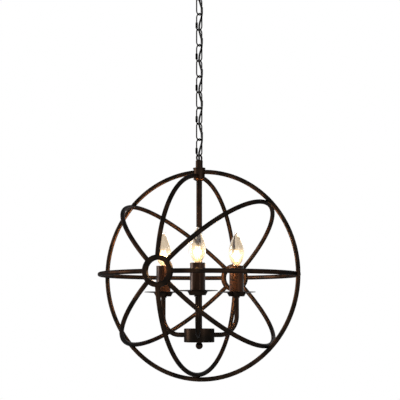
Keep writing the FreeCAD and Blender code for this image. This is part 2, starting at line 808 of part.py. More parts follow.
CAP_FOOT = size("sleeve_height") + size("cap_stand") - size("cap_height")
STUD_FOOT = CAP_FOOT - size("stud_disc_thick") - size("stud_height") - size("fit_gap")


def glass_outline(shrink):
    """Radius and height along the flame, from the neck to the tip, moved in by a wall."""
    radius, height = size("glass_dia") / 2 - shrink, size("glass_height") - shrink
    shares = [(0.60, 0.08), (0.83, 0.19), (0.97, 0.31), (1.00, 0.40), (0.93, 0.55),
              (0.74, 0.70), (0.50, 0.83), (0.30, 0.92), (0.15, 0.98)]
    return [V(radius * wide, 0, height * high) for wide, high in shares] + [V(0, 0, height)]


def bulb_glass():
    """A flame of blown glass with an open neck that stands in the cap."""
    wall = size("glass_wall")
    neck, bottom = size("glass_neck_dia") / 2, -size("glass_neck_length")
    start = size("glass_neck_gap")
    outer_points = [V(neck, 0, start)] + glass_outline(0)
    inner_points = [V(neck - wall, 0, start)] + glass_outline(wall)
    outer = spline(outer_points)
    inner = spline(inner_points)
    corners = [V(neck, 0, bottom), V(neck - wall, 0, bottom)]
    tip_out, tip_in = outer_points[-1], inner_points[-1]
    wire = Part.Wire(Part.__sortEdges__([
        outer, Part.makeLine(tip_out, tip_in), inner,
        Part.makeLine(inner_points[0], corners[1]), Part.makeLine(corners[1], corners[0]),
        Part.makeLine(corners[0], outer_points[0])]))
    return Part.Face(wire).revolve(V(), UP, 360)


def spline(points):
    """A smooth curve that leaves the neck upwards and meets the tip level."""
    curve = Part.BSplineCurve()
    curve.interpolate(points, InitialTangent=V(0.3, 0, 0.95), FinalTangent=V(-1, 0, 0))
    return curve.toShape()


def bulb_cap():
    """The screw cap, and the glass mount with its four filament sticks."""
    inner = rod("cap_dia / 2 - cap_wall", "cap_height", at(z=size("cap_base")))
    shell = cut(rod("cap_dia / 2", "cap_height"), inner,
                rod("cap_eye_dia / 2", "cap_height", at(z=-size("cap_base"))))
    stalk = rod("mount_dia / 2", "cap_height - cap_base + mount_height",
                at(z=size("cap_base")))
    top = size("cap_height") + size("mount_height")
    crown = rod("mount_crown_dia / 2", "mount_crown_thick", at(z=top))
    sticks = []
    for step in range(4):
        x, y, _ = outward(90.0 * step)
        reach = size("filament_radius")
        sticks.append(rod("filament_dia / 2", "filament_height", at(reach * x, reach * y, top)))
    return together([shell, fuse(stalk, crown, *sticks)])


def bulb_contact():
    disc = taper("stud_dia / 2", "stud_disc_dia / 2", "stud_disc_thick",
                 at(z=size("stud_height")))
    return fuse(rod("stud_dia / 2", "stud_height"), disc)


for index, angle in enumerate(arm_angles, start=1):
    node("arm_%d" % index, arm(angle))
    dish = saucer()
    place = lamp_place(angle)
    dish.Placement = place.multiply(at(z=-size("saucer_thick")))
    node("drip_saucer_%d" % index, dish)
    node("candle_sleeve_%d" % index,
         cut(rod("sleeve_dia / 2", "sleeve_height"),
             rod("sleeve_dia / 2 - sleeve_wall", "sleeve_height"), place=place))
    node("lampholder_%d" % index, holder(angle))
    cap = bulb_cap()
    cap.Placement = place.multiply(at(z=CAP_FOOT))
    node("bulb_cap_%d" % index, cap)
    stud = bulb_contact()
    stud.Placement = place.multiply(at(z=STUD_FOOT))
    node("bulb_contact_%d" % index, stud)
    glass = shaped(bulb_glass(), "bulb_glass")
    glass.Placement = place.multiply(at(z=size("sleeve_height")))
    node("bulb_glass_%d" % index, glass)


def lamp_lead(angle):
    """A lead from the stem cord, through the arm, to the lampholder's floor."""
    start = size("cord_dia") / 2 + size("rest_gap")
    top = (size("arm_rise") - size("arm_thread") + size("sleeve_height")
           - size("holder_recess") - size("holder_mouth_depth") - size("holder_floor")
           - size("rest_gap"))
    item = arm_tube("lead_dia / 2", start, top)
    item.Placement = at(z=ARM_LEVEL, turn=spin(angle))
    return item


node("lamp_leads", together([lamp_lead(angle) for angle in arm_angles]))

doc.recompute()
for item in doc.Objects:
    if "Invalid" in item.State or "Error" in item.State:
        raise RuntimeError("object failed: " + item.Name + " " + item.Label)
for label, item in nodes.items():
    if item.Shape.isNull() or not item.Shape.isValid():
        raise RuntimeError("bad shape: " + label)

os.makedirs("parts", exist_ok=True)
for label, item in nodes.items():
    item.Shape.exportStep("parts/%s.step" % label)
print("%d nodes, orb centre at %.2f, pins %.2f to %.2f" % (
    len(nodes), ORB_CENTRE, pin_height(0), ORB_PIN))
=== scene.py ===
"""Orb chandelier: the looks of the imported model, from the ceiling bar down to the bulbs."""
import json
import math

import bmesh
import bpy
from mathutils import Matrix, Vector
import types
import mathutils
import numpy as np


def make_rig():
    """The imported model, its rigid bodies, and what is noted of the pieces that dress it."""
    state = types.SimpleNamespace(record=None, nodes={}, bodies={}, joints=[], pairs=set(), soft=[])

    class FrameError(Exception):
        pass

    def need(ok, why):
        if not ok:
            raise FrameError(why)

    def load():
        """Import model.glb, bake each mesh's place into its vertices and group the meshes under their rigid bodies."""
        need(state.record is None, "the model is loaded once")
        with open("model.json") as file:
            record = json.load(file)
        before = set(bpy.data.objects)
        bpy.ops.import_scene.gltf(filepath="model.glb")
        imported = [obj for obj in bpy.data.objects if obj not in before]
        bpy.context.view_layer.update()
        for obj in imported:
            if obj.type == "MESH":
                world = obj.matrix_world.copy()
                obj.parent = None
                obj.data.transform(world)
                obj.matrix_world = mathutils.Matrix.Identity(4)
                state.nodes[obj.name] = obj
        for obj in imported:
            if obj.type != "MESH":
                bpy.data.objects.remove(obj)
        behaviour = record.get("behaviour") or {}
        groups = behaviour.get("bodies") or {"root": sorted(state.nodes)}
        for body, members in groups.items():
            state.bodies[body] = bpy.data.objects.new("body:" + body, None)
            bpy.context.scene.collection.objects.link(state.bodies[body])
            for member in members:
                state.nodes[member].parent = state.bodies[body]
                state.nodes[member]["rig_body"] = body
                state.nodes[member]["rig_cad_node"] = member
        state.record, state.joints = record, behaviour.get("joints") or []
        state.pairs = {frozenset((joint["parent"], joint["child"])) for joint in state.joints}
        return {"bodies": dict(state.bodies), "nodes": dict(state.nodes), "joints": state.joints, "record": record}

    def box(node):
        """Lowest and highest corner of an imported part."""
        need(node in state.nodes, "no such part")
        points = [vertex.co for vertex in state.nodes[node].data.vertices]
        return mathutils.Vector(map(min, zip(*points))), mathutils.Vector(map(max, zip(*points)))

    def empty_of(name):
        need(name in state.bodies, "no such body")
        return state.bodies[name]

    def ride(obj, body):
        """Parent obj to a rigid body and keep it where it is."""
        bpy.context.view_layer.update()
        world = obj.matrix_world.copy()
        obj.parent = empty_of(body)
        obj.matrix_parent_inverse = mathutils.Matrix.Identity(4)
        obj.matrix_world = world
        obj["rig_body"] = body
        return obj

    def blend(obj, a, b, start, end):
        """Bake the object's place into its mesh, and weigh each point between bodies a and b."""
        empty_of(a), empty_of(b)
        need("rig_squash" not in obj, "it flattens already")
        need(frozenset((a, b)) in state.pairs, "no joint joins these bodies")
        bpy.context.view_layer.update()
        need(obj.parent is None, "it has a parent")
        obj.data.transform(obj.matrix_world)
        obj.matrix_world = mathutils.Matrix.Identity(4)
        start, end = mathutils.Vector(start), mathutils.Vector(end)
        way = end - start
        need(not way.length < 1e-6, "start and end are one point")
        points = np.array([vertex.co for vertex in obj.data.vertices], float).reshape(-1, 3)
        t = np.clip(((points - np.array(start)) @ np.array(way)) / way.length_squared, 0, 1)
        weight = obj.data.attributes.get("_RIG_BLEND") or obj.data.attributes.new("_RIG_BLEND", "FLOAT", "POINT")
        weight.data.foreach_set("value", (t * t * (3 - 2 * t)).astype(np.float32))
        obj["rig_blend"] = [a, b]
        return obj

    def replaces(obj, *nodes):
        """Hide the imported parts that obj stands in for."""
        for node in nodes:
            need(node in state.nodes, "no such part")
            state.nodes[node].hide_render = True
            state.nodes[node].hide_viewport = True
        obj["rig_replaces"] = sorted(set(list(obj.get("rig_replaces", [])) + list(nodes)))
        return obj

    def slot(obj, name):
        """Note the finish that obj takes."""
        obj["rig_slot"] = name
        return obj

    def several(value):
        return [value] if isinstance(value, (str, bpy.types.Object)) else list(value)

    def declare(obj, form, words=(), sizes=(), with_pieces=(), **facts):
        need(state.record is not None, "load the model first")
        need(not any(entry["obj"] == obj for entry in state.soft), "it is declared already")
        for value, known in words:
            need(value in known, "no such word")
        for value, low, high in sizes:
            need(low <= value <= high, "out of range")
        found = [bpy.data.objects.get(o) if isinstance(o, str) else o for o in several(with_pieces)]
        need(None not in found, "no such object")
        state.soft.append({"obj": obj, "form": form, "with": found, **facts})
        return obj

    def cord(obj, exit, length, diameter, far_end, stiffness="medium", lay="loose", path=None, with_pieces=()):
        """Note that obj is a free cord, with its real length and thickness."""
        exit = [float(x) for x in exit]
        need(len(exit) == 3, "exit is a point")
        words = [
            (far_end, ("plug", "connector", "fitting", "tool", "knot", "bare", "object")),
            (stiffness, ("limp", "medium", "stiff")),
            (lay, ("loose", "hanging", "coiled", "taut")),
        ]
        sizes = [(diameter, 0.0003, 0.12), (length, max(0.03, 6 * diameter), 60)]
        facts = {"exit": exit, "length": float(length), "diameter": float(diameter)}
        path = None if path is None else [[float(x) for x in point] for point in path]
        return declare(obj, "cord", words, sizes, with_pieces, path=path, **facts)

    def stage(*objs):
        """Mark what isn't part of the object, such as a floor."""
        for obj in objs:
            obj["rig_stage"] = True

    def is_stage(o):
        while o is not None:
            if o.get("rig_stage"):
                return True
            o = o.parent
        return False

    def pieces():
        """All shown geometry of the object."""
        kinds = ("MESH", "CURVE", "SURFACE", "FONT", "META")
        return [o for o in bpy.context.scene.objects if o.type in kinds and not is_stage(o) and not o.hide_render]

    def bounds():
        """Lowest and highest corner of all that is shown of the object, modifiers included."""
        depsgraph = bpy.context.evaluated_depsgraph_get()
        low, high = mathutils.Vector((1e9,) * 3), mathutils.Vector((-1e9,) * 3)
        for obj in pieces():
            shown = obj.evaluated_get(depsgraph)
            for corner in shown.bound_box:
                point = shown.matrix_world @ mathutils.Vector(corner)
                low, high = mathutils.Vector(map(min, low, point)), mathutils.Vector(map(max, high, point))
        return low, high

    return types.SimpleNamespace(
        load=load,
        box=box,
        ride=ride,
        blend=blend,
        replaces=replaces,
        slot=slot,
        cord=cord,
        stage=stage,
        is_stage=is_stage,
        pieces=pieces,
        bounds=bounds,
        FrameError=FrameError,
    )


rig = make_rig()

for stray in list(bpy.data.objects):
    bpy.data.objects.remove(stray)
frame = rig.load()
cad_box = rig.bounds()
node_objects = frame["nodes"]


# Ceiling fitting: a flat bar with two slots, a threaded pipe through its middle and two
# lock nuts. All are pressed or turned steel with a bright zinc plating, which scatters light
# in small patches and dulls a little towards grey.

def colour(hex_text):
    """Linear colour, with alpha, from an sRGB hex value."""
    shares = [int(hex_text[at:at + 2], 16) / 255 for at in (1, 3, 5)]
    curve = [share / 12.92 if share <= 0.04045 else ((share + 0.055) / 1.055) ** 2.4
             for share in shares]
    return (*curve, 1.0)


def add(tree, kind, inputs=None, out=0, **settings):
    """Add a shader node with its settings and links, and give one of its outputs."""
    node = tree.nodes.new("ShaderNode" + kind)
    for name, value in settings.items():
        setattr(node, name, value)
    for name, value in (inputs or {}).items():
        if isinstance(value, bpy.types.NodeSocket):
            tree.links.new(value, node.inputs[name])
        else:
            node.inputs[name].default_value = value
    return node.outputs[out] if node.outputs else None


def per_metre(millimetres):
    """A texture scale at which one feature is about this wide."""
    return 1000.0 / millimetres


def start_material(name):
    """A new material with an empty node tree, and the piece's own coordinates in metres."""
    made = bpy.data.materials.new(name)
    made.use_nodes = True
    made.node_tree.nodes.clear()
    return made, made.node_tree, add(made.node_tree, "TexCoord", out="Object")


def dress(nodes, material):
    """Give CAD nodes one material."""
    for name in nodes:
        mesh = node_objects[name].data
        mesh.materials.clear()
        mesh.materials.append(material)


ZINC_BRIGHT = colour("#b9bcc0")
ZINC_DULL = colour("#8f9499")
ZINC_SPANGLE_MM = 4.0
ZINC_GRAIN_MM = 0.5

zinc, tree, place = start_material("zinc plated steel")
spangle = add(tree, "TexNoise", {"Vector": place, "Scale": per_metre(ZINC_SPANGLE_MM)})
patches = add(tree, "MapRange", {"Value": spangle, "From Min": 0.3, "From Max": 0.7})
grain = add(tree, "TexNoise", {"Vector": place, "Scale": per_metre(ZINC_GRAIN_MM)})
plating = add(tree, "BsdfPrincipled", {
    "Base Color": add(tree, "Mix", {0: patches, 6: ZINC_BRIGHT, 7: ZINC_DULL}, out=2,
                      data_type="RGBA"),
    "Metallic": 1.0,
    "Roughness": add(tree, "MapRange", {"Value": patches, "To Min": 0.28, "To Max": 0.42}),
    "Normal": add(tree, "Bump", {"Height": grain, "Strength": 0.3, "Distance": 0.00004})})
add(tree, "OutputMaterial", {"Surface": plating})
dress(["mounting_bar", "ceiling_pipe", "bar_lock_nuts", "stem_pipe"], zinc)


# Canopy and its loop: a spun steel dish and a cast eye under it, in the fitting's paint. The
# paint is a brown-black stoving enamel over bent and spun steel: satin, almost black in the
# shade, with browner patches where it was rubbed, and a fine orange-peel surface.

def bronze_paint(name, dark, brown, roughness, patch_mm=26.0, peel_mm=4.0, peel_deep_mm=0.008,
                 metal=0.85, gloss=0.15):
    """Satin enamel that runs between two browns in patches, with an orange-peel surface."""
    made, tree, place = start_material(name)
    patches = add(tree, "TexNoise", {"Vector": place, "Scale": per_metre(patch_mm),
                                     "Detail": 1.5})
    rubbed = add(tree, "MapRange", {"Value": patches, "From Min": 0.35, "From Max": 0.7})
    haze = add(tree, "TexNoise", {"Vector": place, "Scale": per_metre(2.5 * patch_mm)})
    peel = add(tree, "TexNoise", {"Vector": place, "Scale": per_metre(peel_mm), "Detail": 1.0})
    paint = add(tree, "BsdfPrincipled", {
        "Base Color": add(tree, "Mix", {0: rubbed, 6: dark, 7: brown}, out=2,
                          data_type="RGBA"),
        "Roughness": add(tree, "MapRange", {"Value": haze, "From Min": 0.3, "From Max": 0.7,
                                            "To Min": roughness - 0.05,
                                            "To Max": roughness + 0.07}),
        "Metallic": metal,
        "Specular IOR Level": gloss,
        "Specular Tint": FLAKE_EDGE,
        "Normal": add(tree, "Bump", {"Height": peel, "Strength": 0.4,
                                     "Distance": peel_deep_mm / 1000})})
    add(tree, "OutputMaterial", {"Surface": paint})
    return made


FLAKE_EDGE = colour("#2c2824")
ENAMEL_DARK = colour("#15120f")
ENAMEL_BROWN = colour("#261c16")

enamel = bronze_paint("bronze-black enamel", ENAMEL_DARK, ENAMEL_BROWN, 0.36)
dress(["canopy", "canopy_loop"], enamel)


# Chain: ten oval links of steel wire, each closed by a joint sleeve on one side, hung at right
# angles to the next. They are dipped in a thinner black paint, which fills the joints and
# shows the wire's drawn surface, so it shines less evenly than the orb.

CHAIN_DARK = colour("#090808")
CHAIN_GREY = colour("#151413")

chain_paint = bronze_paint("black chain paint", CHAIN_DARK, CHAIN_GREY, 0.42, patch_mm=6.0,
                           peel_mm=0.9, peel_deep_mm=0.02, metal=1.0, gloss=0.1)
dress([name for name in node_objects if name.startswith("chain_link_")], chain_paint)


# Supply cord: a round flex with a plain, dull black PVC jacket, threaded slack down through
# every second link and into the stem. It is made in one stretch for each joint of the chain,
# and the stretches meet inside the links, so that the whole cord bends as the chain does.

CORD_RADIUS = 0.00225
CORD_SIDES = 20
CORD_STEPS = 14               # points of the line for each point of the route
CHAIN_TURN = math.radians(-22.0)
LINK_MIDDLE = 0.0202          # from a pin up to the middle of the link that it ends
BEND_REACH = 0.0135           # above and below a pin, where the cord turns with it
PVC_BLACK = colour("#0d0d0d")
PVC_WORN = colour("#191817")
JACKET_WEAR_MM = 9.0
JACKET_GRAIN_MM = 0.7

# Where the cord goes: x and y across the chain, and a height over the pin that it passes.
# The first point's height is over the ceiling.
PIPE_TOP = (0.0, 0.0, 0.007)
INTO_CHAIN = [(0.0, 0.0, 0.015), (0.0054, -0.007, 0.0)]
BEHIND_LINK = (0.0046, 0.0086, 0.005)
BEFORE_LINK = (0.0041, -0.0086, 0.005)
INTO_STEM = [(0.0046, -0.0059, 0.007), (0.0044, -0.0047, -0.0025), (0.0012, -0.0014, -0.01),
             (0.0, 0.0, -0.017), (0.0, 0.0, -0.024)]

pins = [joint["pos_m"][2] for joint in frame["joints"] if joint["name"].endswith("_swing")]
passes = [(PIPE_TOP, 0.0)] + [(point, pins[0]) for point in INTO_CHAIN]
for number in range(2, len(pins), 2):
    passes.append((BEHIND_LINK, pins[number - 1]))
    if number < len(pins) - 1:
        passes.append((BEFORE_LINK, pins[number]))
passes += [(point, pins[-1]) for point in INTO_STEM]
route = [Matrix.Rotation(CHAIN_TURN, 3, "Z") @ Vector((x, y, pin + over))
         for (x, y, over), pin in passes]


def smooth_line(points, steps):
    """Points along a NURBS spline that has the route's points as its control points."""
    curve = bpy.data.curves.new("route", "CURVE")
    curve.dimensions = "3D"
    curve.resolution_u = steps
    spline = curve.splines.new("NURBS")
    spline.points.add(len(points) - 1)
    for point, control in zip(spline.points, points):
        point.co = (*control, 1.0)
    spline.order_u = 3
    spline.use_endpoint_u = True
    holder = bpy.data.objects.new("route", curve)
    line = bpy.data.meshes.new_from_object(holder)
    centres = [vertex.co.copy() for vertex in line.vertices]
    bpy.data.objects.remove(holder)
    bpy.data.curves.remove(curve)
    bpy.data.meshes.remove(line)
    return centres


def rings_along(centres, radius, sides):
    """A ring of points round each centre, turned as little as can be from one to the next."""
    ways = [(after - before).normalized() for before, after in
            zip([centres[0]] + centres[:-1], centres[1:] + [centres[-1]])]
    across = Vector((1.0, 0.0, 0.0))
    rings = []
    for centre, way in zip(centres, ways):
        across = (across - way * across.dot(way)).normalized()
        upward = way.cross(across)
        turns = [2 * math.pi * side / sides for side in range(sides)]
        rings.append([centre + radius * (math.cos(turn) * across + math.sin(turn) * upward)
                      for turn in turns])
    return rings


def put(name, data):
    """A new object in the scene."""
    made = bpy.data.objects.new(name, data)
    bpy.context.scene.collection.objects.link(made)
    return made


def skin(name, rings, round_trip=False):
    """A mesh through rings of points, with its ends closed, or back round to its first ring."""
    mesh = bpy.data.meshes.new(name)
    build = bmesh.new()
    made = [[build.verts.new(point) for point in ring] for ring in rings]
    pairs = list(zip(made, made[1:] + made[:1] if round_trip else made[1:]))
    for before, after in pairs:
        count = len(before)
        for step in range(count):
            following = (step + 1) % count
            build.faces.new((before[step], before[following], after[following], after[step]))
    if not round_trip:
        build.faces.new(list(reversed(made[0])))
        build.faces.new(made[-1])
    bmesh.ops.recalc_face_normals(build, faces=build.faces)
    for face in build.faces:
        face.smooth = len(face.verts) == 4
    build.to_mesh(mesh)
    build.free()
    return put(name, mesh)


jacket, tree, place = start_material("black PVC jacket")
wear = add(tree, "TexNoise", {"Vector": place, "Scale": per_metre(JACKET_WEAR_MM),
                              "Detail": 3.0})
worn = add(tree, "MapRange", {"Value": wear, "From Min": 0.45, "From Max": 0.75})
grain = add(tree, "TexNoise", {"Vector": place, "Scale": per_metre(JACKET_GRAIN_MM)})
pvc = add(tree, "BsdfPrincipled", {
    "Base Color": add(tree, "Mix", {0: worn, 6: PVC_BLACK, 7: PVC_WORN}, out=2,
                      data_type="RGBA"),
    "Roughness": add(tree, "MapRange", {"Value": worn, "To Min": 0.42, "To Max": 0.58}),
    "IOR": 1.52,
    "Specular IOR Level": 0.15,
    "Normal": add(tree, "Bump", {"Height": grain, "Strength": 0.3, "Distance": 0.00003})})
add(tree, "OutputMaterial", {"Surface": pvc})
dress(["stem_cord"], jacket)

line = smooth_line(route, CORD_STEPS)
line_rings = rings_along(line, CORD_RADIUS, CORD_SIDES)
# The line is cut at the middle of each link, at the point of it that is nearest.
parts_of_chain = ["ceiling_fitting"] + [
    "link_%02d" % number for number in range(1, len(pins))] + ["orb"]
cuts = [line[0].z] + [pin + LINK_MIDDLE for pin in pins[1:]] + [line[-1].z]
joins = [min(range(len(line)), key=lambda at, height=height: abs(line[at].z - height))
         for height in cuts]
for number, pin in enumerate(pins):
    first, last = joins[number], joins[number + 1]
    stretch = line[first:last + 1]
    piece = skin("supply_cord_%02d" % number, line_rings[first:last + 1])
    piece.data.materials.append(jacket)
    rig.replaces(piece, "supply_cord")
    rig.slot(piece, "cord_jacket")
    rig.blend(piece, parts_of_chain[number], parts_of_chain[number + 1],
             start=(0, 0, pin + BEND_REACH), end=(0, 0, pin - BEND_REACH))
    run = sum((after - before).length for before, after in zip(stretch, stretch[1:]))
    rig.cord(piece, exit=stretch[0], length=run, diameter=2 * CORD_RADIUS, far_end="object",
            stiffness="medium", lay="hanging", path=stretch)


# Stem loop, hub, washer and dish: turned and cast steel that clamps the top of the orb on the
# stem pipe, in the same enamel as the canopy.

dress(["stem_loop", "hub", "hub_washer_and_dish"], enamel)


# Orb: one ring and eight half-round ribs of bent steel rod, and two small rings that the ribs
# run into, pinned flush where they cross the ring. The enamel is the same, and it is worn a
# little browner on the rods, where they are handled.

ROD_BROWN = colour("#2c2018")

rod_enamel = bronze_paint("bronze-black enamel on rod", ENAMEL_DARK, ROD_BROWN, 0.42,
                          patch_mm=30.0, peel_mm=5.0)
dress(["outer_ring", "front_side_ring", "back_side_ring", "cage_rivets"]
      + [name for name in node_objects if name.startswith("rib_")], rod_enamel)


# Stem, drum, its cover and the ball finial: drawn tube and spun steel, in the enamel. The
# threaded pipe runs down inside the stem, and the finial closes it off below.

dress(["stem_tube", "cluster_drum", "cluster_cover", "finial"], enamel)


# Arms and drip saucers: bent tube and thin pressed dishes, in the enamel. Each arm runs out of
# the drum and up to its saucer, which sits under the candle sleeve.

dress([name for name in node_objects if name.startswith(("arm_", "drip_saucer_"))], enamel)


# Candle sleeves: thin rolled steel tubes over the lampholders. Their paint is the smoothest on
# the fitting, so that each shows a clear upright streak of light.

SLEEVE_DARK = colour("#241914")
SLEEVE_BROWN = colour("#36251b")

sleeve_enamel = bronze_paint("bronze-black enamel on sleeves", SLEEVE_DARK, SLEEVE_BROWN, 0.26,
                             patch_mm=40.0, metal=0.4, gloss=0.5)
dress([name for name in node_objects if name.startswith("candle_sleeve_")], sleeve_enamel)


# Lampholders and lamp leads: the holders are moulded in a cream thermoset that has a slightly
# grained skin, and the leads are stranded wire in a smooth off-white insulation.

def plain_moulding(name, pale, shaded, roughness, grain_mm):
    """A moulded surface with faint mottling and a grained skin."""
    made, tree, place = start_material(name)
    mottled = add(tree, "TexNoise", {"Vector": place, "Scale": per_metre(MOTTLE_MM),
                                     "Detail": 3.0})
    grain = add(tree, "TexNoise", {"Vector": place, "Scale": per_metre(grain_mm)})
    moulded = add(tree, "BsdfPrincipled", {
        "Base Color": add(tree, "Mix", {0: mottled, 6: pale, 7: shaded}, out=2,
                          data_type="RGBA"),
        "Roughness": add(tree, "MapRange", {"Value": mottled, "From Min": 0.3, "From Max": 0.7,
                                            "To Min": roughness - 0.04,
                                            "To Max": roughness + 0.06}),
        "IOR": 1.54,
        "Normal": add(tree, "Bump", {"Height": grain, "Strength": 0.4, "Distance": 0.00005})})
    add(tree, "OutputMaterial", {"Surface": moulded})
    return made


MOTTLE_MM = 7.0
THERMOSET_PALE = colour("#e6e2d6")
THERMOSET_SHADED = colour("#d8d2c2")
INSULATION_PALE = colour("#e4e2dc")
INSULATION_SHADED = colour("#d6d3ca")

dress([name for name in node_objects if name.startswith("lampholder_")],
      plain_moulding("cream thermoset", THERMOSET_PALE, THERMOSET_SHADED, 0.45, 0.6))
dress(["lamp_leads"],
      plain_moulding("off-white insulation", INSULATION_PALE, INSULATION_SHADED, 0.5, 0.9))


# Bulb caps: each is a thin nickel-plated cap with a rolled E14 thread, a skirt above it and a
# taper below, down to a brass contact. The plating is bright, with fine rolling marks.

THREAD_PITCH = 0.00282
THREAD_DEPTH = 0.0004
THREAD_FOOT = 0.0036
THREAD_TOP = 0.0165
CAP_SIDES = 64
CAP_STEP = 0.00035
CAP_HEIGHT = 0.0225
CAP_WALL = 0.0004
CONTACT_HOLE = 0.0013
CAP_TAPER = [(CONTACT_HOLE, 0.0), (0.003, 0.0), (0.0046, 0.0007)]     # radius and height
NICKEL_BRIGHT = colour("#d5d1c8")
NICKEL_DULL = colour("#b3ada1")
BRASS_BRIGHT = colour("#cfae62")
BRASS_DULL = colour("#a98640")
ROLLING_MARK_MM = 12.0
CLOUD_MM = 5.0


def plated(name, bright, dull, roughness):
    """Plated sheet metal with rolling marks round it and faint cloudy patches."""
    made, tree, place = start_material(name)
    marks = add(tree, "TexWave", {"Vector": place, "Scale": per_metre(ROLLING_MARK_MM),
                                  "Distortion": 1.5}, out="Fac", bands_direction="Z")
    clouds = add(tree, "TexNoise", {"Vector": place, "Scale": per_metre(CLOUD_MM)})
    cloudy = add(tree, "MapRange", {"Value": clouds, "From Min": 0.3, "From Max": 0.7})
    plating = add(tree, "BsdfPrincipled", {
        "Base Color": add(tree, "Mix", {0: cloudy, 6: bright, 7: dull}, out=2,
                          data_type="RGBA"),
        "Metallic": 1.0,
        "Roughness": add(tree, "MapRange", {"Value": marks, "To Min": roughness,
                                            "To Max": roughness + 0.1}),
        "Normal": add(tree, "Bump", {"Height": marks, "Strength": 0.2, "Distance": 0.00003})})
    add(tree, "OutputMaterial", {"Surface": plating})
    return made


nickel = plated("nickel plating", NICKEL_BRIGHT, NICKEL_DULL, 0.22)
brass = plated("plain brass", BRASS_BRIGHT, BRASS_DULL, 0.28)
bulbs = range(1, 4)
dress(["bulb_contact_%d" % number for number in bulbs], brass)


def axis_of(node):
    """The foot of a turned node's upright axis, and the node's radius."""
    lowest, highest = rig.box(node)
    middle = (lowest + highest) / 2
    return Vector((middle.x, middle.y, lowest.z)), (highest.x - lowest.x) / 2


def lathe_ring(foot, radius, height, sides=CAP_SIDES, ripple=None):
    """A ring of points about an upright axis; a ripple gives each point's own radius."""
    turns = [2 * math.pi * side / sides for side in range(sides)]
    radii = [ripple(turn) if ripple else radius for turn in turns]
    return [foot + Vector((wide * math.cos(turn), wide * math.sin(turn), height))
            for wide, turn in zip(radii, turns)]


def screw_cap(name, foot, radius):
    """A cap with a rolled thread, open at the top for the neck of the glass."""

    def thread(level):
        from_end = min(level - THREAD_FOOT, THREAD_TOP - level) / THREAD_PITCH
        fade = max(0.0, min(1.0, from_end))

        def ripple(turn):
            wave = 0.5 - 0.5 * math.cos(2 * math.pi * level / THREAD_PITCH - turn)
            return radius - THREAD_DEPTH * wave * fade
        return ripple

    under_thread = CAP_TAPER + [(radius - 0.0006, THREAD_FOOT - 0.0012)]
    over_thread = [(radius, CAP_HEIGHT - 0.0006), (radius - 0.0002, CAP_HEIGHT),
                   (radius - CAP_WALL, CAP_HEIGHT - 0.0002),
                   (radius - 2.5 * CAP_WALL, THREAD_FOOT), (CONTACT_HOLE, 0.001)]
    rings = [lathe_ring(foot, wide, level) for wide, level in under_thread]
    count = int((THREAD_TOP - THREAD_FOOT) / CAP_STEP)
    for step in range(count + 1):
        level = THREAD_FOOT + (THREAD_TOP - THREAD_FOOT) * step / count
        rings.append(lathe_ring(foot, radius, level, ripple=thread(level)))
    rings += [lathe_ring(foot, wide, level) for wide, level in over_thread]
    return skin(name, rings, round_trip=True)


# Glass mounts and filaments: a glass stalk stands in each cap and spreads to a small crown,
# which carries four glowing filaments. Lit, they are too bright to show any form.

STALK_RADIUS = 0.00225
CROWN_RADIUS = 0.0052
FILAMENT_RADIUS = 0.001
FILAMENT_RING = 0.004
FILAMENT_FOOT = 0.009
FILAMENT_LENGTH = 0.027
FILAMENT_COUNT = 4
STALK_SIDES = 24
FILAMENT_SIDES = 12
CROWN = CAP_HEIGHT + FILAMENT_FOOT
# Profiles: radius and height over the cap's foot, then shares of a filament's size.
STALK_PROFILE = [(0.0026, 0.003), (0.0024, 0.012), (STALK_RADIUS, CAP_HEIGHT),
                 (STALK_RADIUS, CROWN - 0.0016), (0.5 * CROWN_RADIUS, CROWN - 0.001),
                 (CROWN_RADIUS, CROWN - 0.0007), (CROWN_RADIUS, CROWN - 0.0002),
                 (0.96 * CROWN_RADIUS, CROWN)]
FILAMENT_PROFILE = [(0.4, 0.0), (1.0, 0.02), (1.0, 0.98), (0.4, 1.0)]
FILAMENT_STRENGTH = 8.0
FILAMENT_LIGHT = colour("#ffdf9e")
GLASS_CLEAR = colour("#fff7ea")

filament, tree, _ = start_material("glowing filament")
light = add(tree, "Emission", {"Color": FILAMENT_LIGHT, "Strength": FILAMENT_STRENGTH})
add(tree, "OutputMaterial", {"Surface": light})
stalk_glass, tree, _ = start_material("clear stalk glass")
clear = add(tree, "BsdfPrincipled", {
    "Base Color": GLASS_CLEAR, "Roughness": 0.05, "IOR": 1.5, "Transmission Weight": 1.0})
add(tree, "OutputMaterial", {"Surface": clear})


def keep_out_of_light(piece):
    """Leave a lit piece out of shadow, gloss and diffuse light, which its lamp stands for."""
    piece.visible_diffuse = piece.visible_glossy = piece.visible_shadow = False


for number in bulbs:
    turn_joint = "bulb_%d_turn" % number
    foot, radius = axis_of("bulb_cap_%d" % number)
    cap = screw_cap("bulb_screw_cap_%d" % number, foot, radius)
    cap.data.materials.append(nickel)
    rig.replaces(cap, "bulb_cap_%d" % number)
    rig.slot(cap, "bulb_cap_metal")
    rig.ride(cap, turn_joint)
    stalk = skin("bulb_stalk_%d" % number, [
        lathe_ring(foot, wide, level, sides=STALK_SIDES) for wide, level in STALK_PROFILE])
    stalk.data.materials.append(stalk_glass)
    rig.slot(stalk, "bulb_glass")
    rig.ride(stalk, turn_joint)
    for index in range(FILAMENT_COUNT):
        turn = math.atan2(foot.y, foot.x) + 2 * math.pi * index / FILAMENT_COUNT
        stand = foot + FILAMENT_RING * Vector((math.cos(turn), math.sin(turn), 0))
        stick = skin("bulb_filament_%d_%d" % (number, index + 1), [
            lathe_ring(stand, FILAMENT_RADIUS * wide, CROWN + FILAMENT_LENGTH * high,
                       sides=FILAMENT_SIDES)
            for wide, high in FILAMENT_PROFILE])
        stick.data.materials.append(filament)
        keep_out_of_light(stick)
        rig.slot(stick, "bulb_glass")
        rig.ride(stick, turn_joint)
